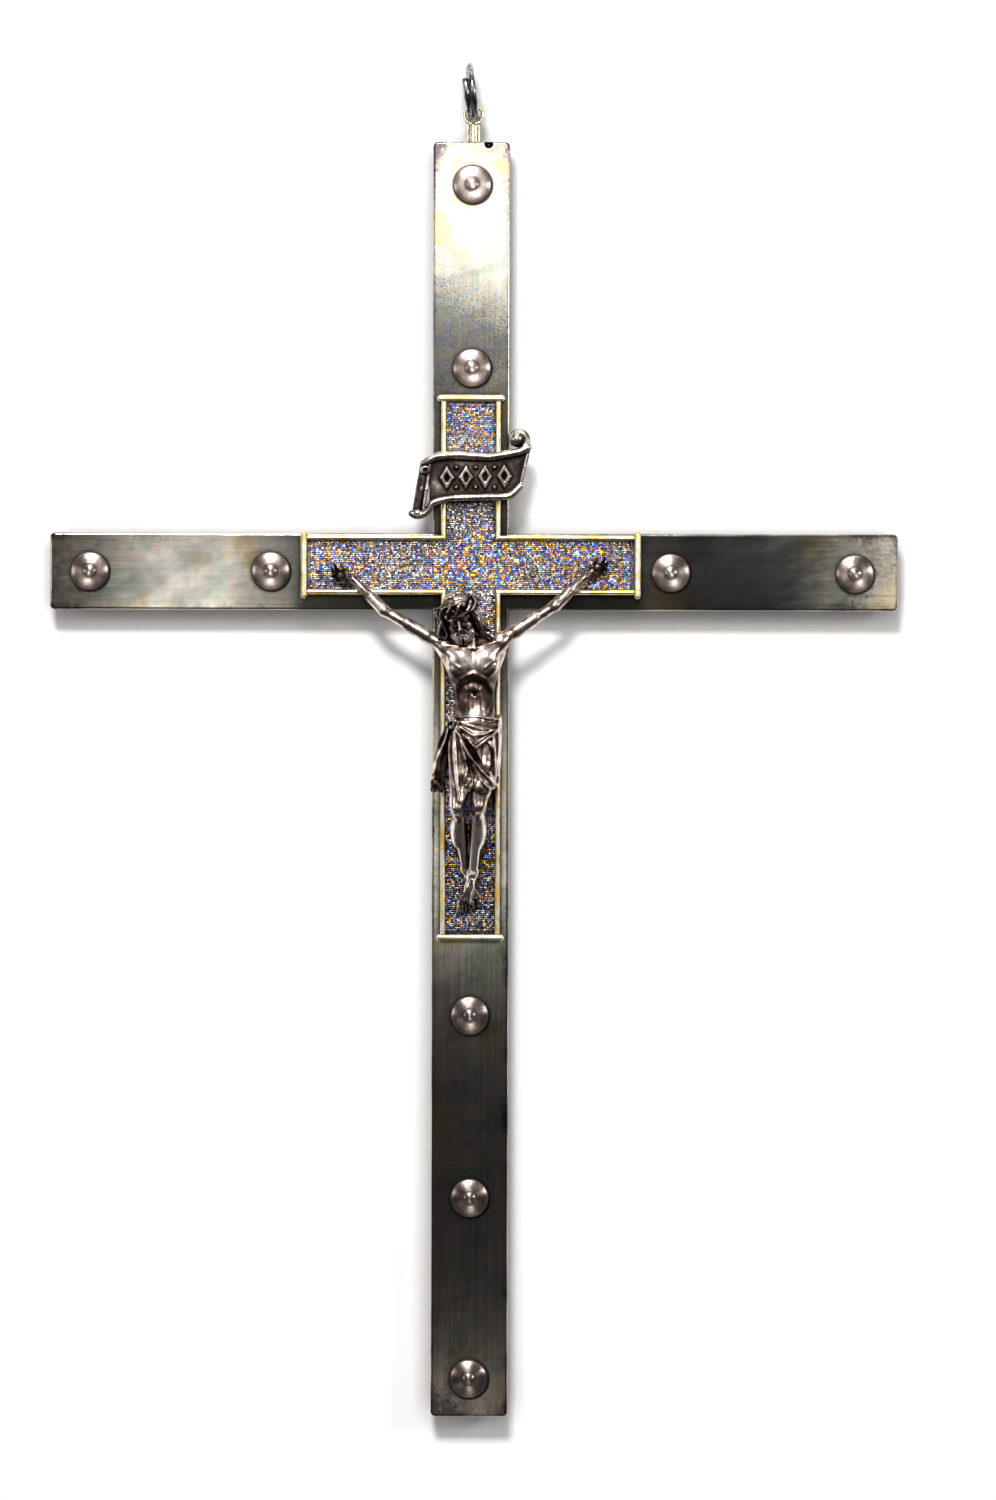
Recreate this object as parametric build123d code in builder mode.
"""Hanging crucifix: a flat-bar cross with turned studs, a framed crucifix applied to its front, a cast
figure nailed to it, a scroll over the figure, and a loose split ring in an eye at the top.

Millimetres. +Z is up, +X is to the viewer's right and the front faces -Y. The origin is on the back
face, at the centre of the crossing. Points on the front are given as (x, z) pairs.
"""

import math
import os

from build123d import *

# Flat-bar cross
bar_width = 25.0
bar_thickness = 6.0
top_reach = 140.0
foot_reach = 275.0
left_reach = 137.0
right_reach = 139.0
end_corner_radius = 1.6
front_edge_radius = 0.7
back_edge_chamfer = 0.3

# Fits
play = 0.02

# Turned studs
stud_head_radius = 6.25
stud_rim = 0.7
stud_rim_direction = (-0.6, -0.8)
stud_dome = 1.0
stud_boss_radius = 2.1
stud_boss_rise = 0.65
stud_cove = 0.3
stud_shank_radius = 2.0
stud_tail_radius = 3.0
upright_studs = {
    "stud_top_outer": (0.2, 126.0),
    "stud_top_inner": (0.2, 66.3),
    "stud_foot_upper": (0, -144.5),
    "stud_foot_middle": (0.1, -203.9),
    "stud_foot_lower": (-0.1, -262.7),
}
side_studs = {
    "stud_left_outer": (-124.0, -0.1),
    "stud_left_inner": (-65.1, 0),
    "stud_right_inner": (65.1, -0.3),
    "stud_right_outer": (125.0, -0.5),
}

# Lap joint rivets and the screws that hold the applied crucifix from behind
lap_rivet_offset = 7.0
lap_rivet_radius = 1.25
lap_rivet_head_radius = 2.0
screw_radius = 1.5
screw_head_radius = 3.0
screw_bite = 1.1
screw_slot = (0.8, 0.7)
screw_side = 28.0
screw_top = 47.0
screw_foot = -93.0

# Applied crucifix: a plate, bead mouldings along its sides and a bar across each end
plate_centre_z = 2.1
plate_half_width = 9.7
plate_thickness = 1.5
plate_reach = 54.2
plate_foot_reach = 121.1
bead_width = 1.8
bead_wall = 0.7
end_bar_width = 2.2
end_bar_length = 22.0
end_bar_height = 1.9
end_bar_edge_radius = 0.95
joint_gap = 0.05

# Scroll above the figure
scroll_standoff = 3.0
scroll_thickness = 1.2
scroll_rim_radius = 1.2
scroll_post_radius = 1.0
scroll_post_side = 6.0
scroll_post_z = 30.5
scroll_post_bite = 2.5
scroll_top_edge = [(-15.0, 35.1), (-10.5, 37.2), (-2.0, 37.6), (6.0, 37.2), (13.0, 38.2), (18.4, 40.2)]
scroll_bottom_edge = [(15.6, 27.4), (12.4, 24.3), (5.0, 24.0), (-5.0, 23.7), (-12.6, 22.0)]
scroll_tail = [(-15.0, 35.1), (-16.6, 33.6), (-19.6, 18.6), (-17.6, 17.0), (-15.0, 17.4), (-12.6, 22.0)]
scroll_curl = (15.9, 42.3)
scroll_curl_radius = 3.4
scroll_curl_thickness = 2.2

# Nails
nail_radius = 0.6
nail_bite = 3.0
nail_head_radius = 1.35
nail_head_rise = 0.9
left_palm = (-42.2, -1.7)
right_palm = (41.2, 1.2)
feet_nail = (-1.5, -107.0)
nail_seats = {"nail_left_hand": 3.6, "nail_right_hand": 3.6, "nail_feet": 4.4}

# Eye and ring
eye_offset = 0.5
eye_height = 9.1
eye_wire_radius = 0.52
eye_hole_radius = 2.45
eye_post_radius = 2.15
eye_post_round = 0.5
eye_tail_radius = 1.4
eye_tail_length = 9.0
ring_wire_radius = 1.05
ring_radius = 8.4
ring_coil_pitch = 2.2
ring_upper_end = 20.0
ring_lower_end = -150.0
ring_lean = 5.0
ring_seat_gap = 0.1

# A dent in the front of the upright, just below its top end
dent_centre = (5.5, 139.3)
dent_radius = 1.45
dent_depth = 0.85

# Figure
# Sections of the figure as (x, height above the field, z). Down the body they are ellipses, with half
# width and half depth, and along a limb they are circles, with a radius.
torso_sections = [
    ((0.4, 7.6, -21.5), (4.6, 3.0)),
    ((0.4, 7.6, -25.5), (8.6, 4.0)),
    ((0.2, 7.6, -32.0), (8.2, 4.6)),
    ((1.4, 6.6, -41.6), (6.0, 3.7)),
    ((1.9, 6.4, -47.0), (7.6, 4.4)),
    ((1.7, 6.6, -56.0), (8.2, 4.6)),
    ((1.0, 7.2, -72.5), (7.2, 4.4)),
]
arm_sections = {
    "left": [
        ((-5.4, 7.6, -25.6), 2.2),
        ((-15.5, 6.6, -20.0), 2.0),
        ((-27.6, 5.8, -13.0), 1.7),
        ((-38.2, 3.0, -2.6), 1.2),
        ((-43.4, 1.3, 0.2), 1.6),
    ],
    "right": [
        ((6.4, 7.6, -24.4), 2.2),
        ((16.5, 6.6, -17.6), 2.0),
        ((27.2, 5.8, -11.2), 1.7),
        ((37.2, 3.0, -1.6), 1.2),
        ((43.0, 1.3, 2.6), 1.6),
    ],
}
leg_sections = {
    "left": [
        ((-2.4, 6.6, -66.0), 3.6),
        ((-3.5, 7.8, -76.6), 2.7),
        ((-4.0, 5.4, -84.0), 2.7),
        ((-0.9, 3.0, -97.4), 1.5),
        ((1.8, 1.2, -106.8), 1.4),
    ],
    "right": [
        ((4.4, 6.6, -66.0), 3.6),
        ((2.8, 8.0, -76.0), 2.6),
        ((2.6, 6.4, -83.6), 2.5),
        ((0.6, 4.6, -98.0), 1.5),
        ((-1.1, 1.8, -109.0), 1.4),
    ],
}
drape_sections = [((-4.4, 5.6, -49.0), 1.6), ((-7.4, 4.8, -60.0), 1.9), ((-9.6, 4.2, -70.5), 2.0)]
neck_sections = [((0.6, 7.6, -24.5), 2.8), ((-0.6, 8.8, -20.5), 2.6), ((-2.2, 10.4, -17.4), 2.8)]
head_centre = (-3.2, 11.0, -15.8)
head_tilt = 12.0
head_half_axes = (4.6, 5.0, 8.0)
head_levels = (-0.96, -0.7, -0.3, 0.15, 0.55, 0.85, 0.98)

# Levels, measured forward from the back face
bar_front = bar_thickness
field_level = bar_front + plate_thickness
scroll_back = field_level + scroll_standoff
scroll_front = scroll_back + scroll_thickness

# Planes: sketches on them use local x = X and local y = Z, and extrude towards the viewer
back = Plane.XZ
bar_middle = Plane.XZ.offset(bar_thickness / 2)
bar_face = Plane.XZ.offset(bar_front)
field = Plane.XZ.offset(field_level)
rear_view = Plane(origin=(0, 0, 0), x_dir=(-1, 0, 0), z_dir=(0, 1, 0))

lap_rivets = [(x * lap_rivet_offset, z * lap_rivet_offset) for x in (-1, 1) for z in (-1, 1)]
plate_screws = [
    (-screw_side, plate_centre_z),
    (screw_side, plate_centre_z),
    (0, screw_top),
    (0, screw_foot),
]
scroll_posts = [(-scroll_post_side, scroll_post_z), (scroll_post_side, scroll_post_z)]
nails = {"nail_left_hand": left_palm, "nail_right_hand": right_palm, "nail_feet": feet_nail}


def point_on(level, position):
    """A point at that level in front of the back face."""
    return (position[0], -level, position[1])


def from_behind(positions):
    """The same points in the local frame of the plane seen from behind."""
    return [(-x, z) for x, z in positions]


def turning_plane(position):
    """A plane in which a turned piece on an axis along Y is drawn: local x is its radius, local y is Y."""
    return Plane(origin=(position[0], 0, position[1]), x_dir=(1, 0, 0), z_dir=(0, 0, 1))


def turning_axis(position):
    return Axis((position[0], 0, position[1]), (0, 1, 0))


def save(piece, name):
    piece.part.label = name
    export_step(piece.part, f"parts/{name}.step")


# ---------------------------------------------------------------- flat-bar cross


def make_whole_cross():
    """Both bars as one outline, with eased edges, before the lap joint divides it."""
    with BuildPart() as whole:
        with BuildSketch(back):
            with Locations((0, (top_reach - foot_reach) / 2)):
                RectangleRounded(bar_width, top_reach + foot_reach, end_corner_radius)
            with Locations(((right_reach - left_reach) / 2, 0)):
                RectangleRounded(left_reach + right_reach, bar_width, end_corner_radius)
        extrude(amount=bar_thickness)
        fillet(whole.faces().sort_by(Axis.Y)[0].edges(), front_edge_radius)
        chamfer(whole.faces().sort_by(Axis.Y)[-1].edges(), back_edge_chamfer)
    return whole


def make_upright_zone():
    """The space the upright fills: the whole depth along its length, and the front half at the crossing."""
    with BuildPart() as zone:
        with BuildSketch(back):
            Rectangle(bar_width, 3 * foot_reach)
        extrude(amount=bar_thickness)
        with BuildSketch(back):
            Rectangle(bar_width, bar_width)
        extrude(amount=bar_thickness / 2, mode=Mode.SUBTRACT)
    return zone


def cut_stud_holes(positions):
    with Locations(rear_view):
        with Locations(*from_behind(positions)):
            CounterSinkHole(stud_shank_radius + play, stud_tail_radius, depth=bar_thickness, counter_sink_angle=90)


def cut_lap_rivet_holes():
    """Through the lap, countersunk on the face this bar shows, so each bar takes both cuts."""
    with Locations(rear_view):
        with Locations(*from_behind(lap_rivets)):
            CounterSinkHole(
                lap_rivet_radius + play, lap_rivet_head_radius, depth=bar_thickness, counter_sink_angle=90
            )
    with Locations(bar_face):
        with Locations(*lap_rivets):
            CounterSinkHole(
                lap_rivet_radius + play, lap_rivet_head_radius, depth=bar_thickness, counter_sink_angle=90
            )


def cut_screw_holes(positions):
    with Locations(rear_view):
        with Locations(*from_behind(positions)):
            CounterSinkHole(screw_radius + play, screw_head_radius, depth=bar_thickness, counter_sink_angle=90)


def cut_front_pockets(positions, radius, depth):
    """Blind round holes from the bar's front face."""
    with BuildSketch(bar_face) as pockets:
        with Locations(*positions):
            Circle(radius + play)
    extrude(pockets.sketch, amount=-depth, mode=Mode.SUBTRACT)


def make_upright(whole, zone):
    with BuildPart() as upright:
        add(whole.part)
        add(zone.part, mode=Mode.INTERSECT)
        cut_stud_holes(upright_studs.values())
        cut_lap_rivet_holes()
        cut_screw_holes(plate_screws[2:])
        cut_front_pockets(scroll_posts, scroll_post_radius, scroll_post_bite)
        cut_front_pockets([feet_nail], nail_radius, nail_bite)
        with BuildSketch(Plane.XY.offset(top_reach)):
            with Locations((eye_offset, -bar_thickness / 2)):
                Circle(eye_tail_radius + play)
        extrude(amount=-eye_tail_length - play, mode=Mode.SUBTRACT)
        with Locations(point_on(bar_front + dent_radius - dent_depth, dent_centre)):
            Sphere(dent_radius, mode=Mode.SUBTRACT)
    return upright


def make_crossbar(whole, zone):
    with BuildPart() as crossbar:
        add(whole.part)
        add(zone.part, mode=Mode.SUBTRACT)
        cut_stud_holes(side_studs.values())
        cut_lap_rivet_holes()
        cut_screw_holes(plate_screws[:2])
        cut_front_pockets([left_palm, right_palm], nail_radius, nail_bite)
    return crossbar


def make_lap_rivets():
    """Rivets closed flush into a countersink on each side of the lap."""
    flare = lap_rivet_head_radius - lap_rivet_radius
    with BuildPart() as rivets:
        for position in lap_rivets:
            with BuildSketch(turning_plane(position)):
                Polygon(
                    (0, 0),
                    (lap_rivet_head_radius - play, 0),
                    (lap_rivet_radius, -flare + play),
                    (lap_rivet_radius, -bar_thickness + flare - play),
                    (lap_rivet_head_radius - play, -bar_thickness),
                    (0, -bar_thickness),
                    align=None,
                )
            revolve(axis=turning_axis(position))
    return rivets


# ---------------------------------------------------------------- studs and screws


def make_stud(position):
    """A turned button: rim, low dome, cove and centre boss, with a shank closed flush into the bar's back."""
    rim_level = -bar_front - stud_rim
    dome_level = rim_level - stud_dome
    cove_level = dome_level + stud_cove
    boss_level = dome_level - stud_boss_rise
    tail = stud_tail_radius - stud_shank_radius
    cove_radius = stud_boss_radius + stud_cove
    with BuildPart() as stud:
        with BuildSketch(turning_plane(position)):
            with BuildLine():
                Polyline(
                    (0, boss_level),
                    (0, 0),
                    (stud_tail_radius - play, 0),
                    (stud_shank_radius, play - tail),
                    (stud_shank_radius, -bar_front),
                    (stud_head_radius, -bar_front),
                    (stud_head_radius, rim_level),
                )
                Spline(
                    (stud_head_radius, rim_level),
                    (cove_radius + stud_cove, dome_level),
                    tangents=(stud_rim_direction, (-1, 0)),
                )
                Polyline(
                    (cove_radius + stud_cove, dome_level),
                    (cove_radius, cove_level),
                    (stud_boss_radius, cove_level),
                )
                Spline((stud_boss_radius, cove_level), (0, boss_level), tangents=((0, -1), (-1, 0)))
            make_face()
        revolve(axis=turning_axis(position))
    return stud


def make_plate_screws():
    """Slotted countersunk screws, flush with the back, that end inside the applied plate."""
    flare = screw_head_radius - screw_radius
    tip = -bar_front - screw_bite
    slot_width, slot_depth = screw_slot
    with BuildPart() as screws:
        for position in plate_screws:
            with BuildSketch(turning_plane(position)):
                Polygon(
                    (0, 0),
                    (screw_head_radius - play, 0),
                    (screw_radius, play - flare),
                    (screw_radius, tip),
                    (0, tip),
                    align=None,
                )
            revolve(axis=turning_axis(position))
        with BuildSketch(back):
            for turn, position in zip((25, 70, 110, 155), plate_screws):
                with Locations(Location((*position, 0), (0, 0, turn))):
                    Rectangle(2 * screw_head_radius, slot_width)
        extrude(amount=slot_depth, mode=Mode.SUBTRACT)
    return screws


# ---------------------------------------------------------------- applied crucifix


def make_plate():
    """The cross-shaped plate whose sunk field lies between the mouldings."""
    high = plate_reach + end_bar_width / 2
    low = plate_foot_reach + end_bar_width / 2
    with BuildPart() as plate:
        with BuildSketch(bar_face):
            with Locations((0, plate_centre_z + (high - low) / 2)):
                Rectangle(2 * plate_half_width, high + low)
            with Locations((0, plate_centre_z)):
                Rectangle(2 * high, 2 * plate_half_width)
        extrude(amount=plate_thickness)
        cut_plate_holes(nails.values(), nail_radius, plate_thickness)
        cut_plate_holes(scroll_posts, scroll_post_radius, plate_thickness)
        cut_plate_holes(plate_screws, screw_radius, screw_bite + play)
    return plate


def cut_plate_holes(positions, radius, depth):
    """Round holes from the plate's back."""
    with BuildSketch(bar_face) as holes:
        with Locations(*positions):
            Circle(radius + play)
    extrude(holes.sketch, amount=depth, mode=Mode.SUBTRACT)


def make_bead(side, end):
    """A half-round moulding that turns one inner corner of the plate. side is -1 left or 1 right, end is
    -1 foot or 1 top."""
    line = plate_half_width - bead_width / 2
    stop = end_bar_width / 2 + joint_gap
    end_reach = plate_reach if end > 0 else plate_foot_reach
    radius = bead_width / 2
    crest = bead_wall + radius
    with BuildPart() as bead:
        with BuildLine(field) as path:
            Polyline(
                (side * line, plate_centre_z + end * (end_reach - stop)),
                (side * line, plate_centre_z + end * line),
                (side * (plate_reach - stop), plate_centre_z + end * line),
            )
        with BuildSketch(Plane(origin=path.line @ 0, x_dir=(1, 0, 0), z_dir=(0, 0, -end))):
            with BuildLine():
                Polyline((-radius, bead_wall * end), (-radius, 0), (radius, 0), (radius, bead_wall * end))
                ThreePointArc((radius, bead_wall * end), (0, crest * end), (-radius, bead_wall * end))
            make_face()
        sweep(transition=Transition.RIGHT)
    return bead


def make_end_bar(position, turn):
    """A short rounded bar across one end of the plate."""
    with BuildPart() as end_bar:
        with BuildSketch(field):
            with Locations(Location((*position, 0), (0, 0, turn))):
                SlotOverall(end_bar_length, end_bar_width)
        extrude(amount=end_bar_height)
        fillet(end_bar.faces().sort_by(Axis.Y)[0].edges(), end_bar_edge_radius)
    return end_bar


# ---------------------------------------------------------------- scroll


def make_scroll():
    """A ribbon with a raised rim along its top and bottom edges, a folded tail at the left and a curl at
    the right, on two pins that reach into the upright."""
    ribbon = Plane.XZ.offset(scroll_back)
    with BuildPart() as scroll:
        with BuildSketch(ribbon):
            with BuildLine():
                top = Spline(*scroll_top_edge)
                Line(top @ 1, scroll_bottom_edge[0])
                Spline(*scroll_bottom_edge)
                Line(scroll_bottom_edge[-1], top @ 0)
            make_face()
            with BuildLine():
                Polyline(*scroll_tail, close=True)
            make_face()
        extrude(amount=scroll_thickness)
        with BuildSketch(ribbon):
            with Locations(scroll_curl):
                Circle(scroll_curl_radius)
        extrude(amount=scroll_curl_thickness)
        for edge in (scroll_top_edge, scroll_bottom_edge):
            with BuildLine(Plane.XZ.offset(scroll_front)) as rim:
                Spline(*edge)
            with BuildSketch(Plane(origin=rim.line @ 0, z_dir=rim.line % 0)):
                Circle(scroll_rim_radius)
            sweep()
        with BuildSketch(Plane.XZ.offset(bar_front - scroll_post_bite)):
            with Locations(*scroll_posts):
                Circle(scroll_post_radius)
        extrude(amount=scroll_post_bite + plate_thickness + scroll_standoff)
    return scroll


# ---------------------------------------------------------------- figure


def in_front(section_centre):
    x, height, z = section_centre
    return Vector(x, -field_level - height, z)


def add_limb(sections):
    """One loft through round sections, each square to the line between its neighbours."""
    centres = [in_front(centre) for centre, radius in sections]
    rounds = []
    for index, (centre, radius) in enumerate(sections):
        along = centres[min(index + 1, len(centres) - 1)] - centres[max(index - 1, 0)]
        across = Vector(0, -1, 0).cross(along)
        with BuildSketch(Plane(origin=centres[index], x_dir=across, z_dir=along)) as section:
            Circle(radius)
        rounds.append(section.sketch)
    loft(sections=rounds)


def add_head():
    """An egg shape, tilted to the viewer's left."""
    half_width, half_depth, half_height = head_half_axes
    egg = Plane(origin=in_front(head_centre), x_dir=(1, 0, 0), z_dir=(0, 0, 1)).rotated((0, -head_tilt, 0))
    rounds = []
    for level in head_levels:
        spread = math.sqrt(1 - level**2)
        with BuildSketch(egg.offset(level * half_height)) as section:
            Ellipse(half_width * spread, half_depth * spread)
        rounds.append(section.sketch)
    loft(sections=rounds)


def make_corpus():
    """The figure as one plain casting, flat behind where it lies on the field."""
    with BuildPart() as corpus:
        levels = []
        for centre, half_axes in torso_sections:
            with BuildSketch(Plane.XY.offset(centre[2])) as section:
                with Locations((centre[0], -field_level - centre[1])):
                    Ellipse(*half_axes)
            levels.append(section.sketch)
        loft(sections=levels)
        for limb in (*arm_sections.values(), *leg_sections.values(), neck_sections, drape_sections):
            add_limb(limb)
        add_head()
        with BuildSketch(field) as behind:
            Rectangle(4 * bar_width, 4 * foot_reach)
        extrude(behind.sketch, amount=-2 * bar_thickness, mode=Mode.SUBTRACT)
        with BuildSketch(field) as nail_holes:
            with Locations(*nails.values()):
                Circle(nail_radius + play)
        extrude(nail_holes.sketch, amount=2 * bar_thickness, mode=Mode.SUBTRACT)
    return corpus


def make_nail(position, seat_height):
    """A round nail with a domed head, driven through the figure and the plate into the bar."""
    seat = field_level + seat_height
    tip = bar_front - nail_bite
    with BuildPart() as nail:
        with BuildSketch(turning_plane(position)):
            with BuildLine():
                Polyline(
                    (0, -seat - nail_head_rise),
                    (0, -tip),
                    (nail_radius, -tip),
                    (nail_radius, -seat),
                    (nail_head_radius, -seat),
                )
                Spline(
                    (nail_head_radius, -seat),
                    (0, -seat - nail_head_rise),
                    tangents=((0, -1), (-1, 0)),
                )
            make_face()
        revolve(axis=turning_axis(position))
    return nail


# ---------------------------------------------------------------- eye and ring

eye_centre = Vector(eye_offset, -bar_thickness / 2, top_reach + eye_height)


def make_eye():
    """A ring-headed eye on a round post, with a tail pressed into the upright's top end."""
    loop_radius = eye_hole_radius + eye_wire_radius
    post_top = top_reach + eye_height - loop_radius
    with BuildPart() as eye:
        with Locations(Location(eye_centre, (90, 0, 0))):
            Torus(loop_radius, eye_wire_radius)
        with BuildSketch(bar_middle):
            with Locations((eye_offset, 0)):
                Polygon(
                    (0, post_top),
                    (eye_post_radius - eye_post_round, post_top),
                    (eye_post_radius, post_top - eye_post_round),
                    (eye_post_radius, top_reach),
                    (eye_tail_radius, top_reach),
                    (eye_tail_radius, top_reach - eye_tail_length),
                    (0, top_reach - eye_tail_length),
                    align=None,
                )
        revolve(axis=Axis(eye_centre, (0, 0, 1)))
    return eye


def make_ring():
    """A split ring: about a turn and a half of wire, side by side where it passes through the eye. It starts
    at the left end in front, goes down through the eye, up behind and over, and down through the eye again."""
    turn = 360 + ring_upper_end - ring_lower_end
    width = ring_coil_pitch * turn / 360
    through_eye = ring_coil_pitch * (90 + ring_upper_end) / 360
    seat = math.sqrt((eye_hole_radius - ring_wire_radius - ring_seat_gap) ** 2 - (ring_coil_pitch / 2) ** 2)
    start = eye_centre + Vector(-through_eye - ring_coil_pitch / 2, 0, ring_radius - seat)
    coil = Plane(origin=start, x_dir=(0, -1, 0), z_dir=(1, 0, 0)).rotated((-ring_upper_end, 0, 0))
    with BuildPart() as ring:
        with BuildLine() as path:
            Helix(pitch=ring_coil_pitch, height=width, radius=ring_radius)
        with BuildSketch(Plane(origin=path.line @ 0, z_dir=path.line % 0)):
            Circle(ring_wire_radius)
        sweep(is_frenet=True)
    ring.part = ring.part.moved(coil.location).rotate(Axis(eye_centre, (0, 1, 0)), -ring_lean)
    return ring


def make_all():
    os.makedirs("parts", exist_ok=True)
    whole = make_whole_cross()
    zone = make_upright_zone()
    save(make_upright(whole, zone), "upright_bar")
    save(make_crossbar(whole, zone), "cross_bar")
    save(make_lap_rivets(), "lap_rivets")
    for name, position in {**upright_studs, **side_studs}.items():
        save(make_stud(position), name)
    save(make_plate_screws(), "plate_screws")
    save(make_plate(), "crucifix_plate")
    for end, end_name in ((1, "upper"), (-1, "lower")):
        for side, side_name in ((-1, "left"), (1, "right")):
            save(make_bead(side, end), f"bead_{end_name}_{side_name}")
    save(make_end_bar((0, plate_centre_z + plate_reach), 0), "end_bar_top")
    save(make_end_bar((0, plate_centre_z - plate_foot_reach), 0), "end_bar_foot")
    save(make_end_bar((-plate_reach, plate_centre_z), 90), "end_bar_left")
    save(make_end_bar((plate_reach, plate_centre_z), 90), "end_bar_right")
    save(make_scroll(), "scroll")
    save(make_corpus(), "corpus")
    for name, position in nails.items():
        save(make_nail(position, nail_seats[name]), name)
    save(make_eye(), "hanging_eye")
    save(make_ring(), "hanging_ring")


make_all()
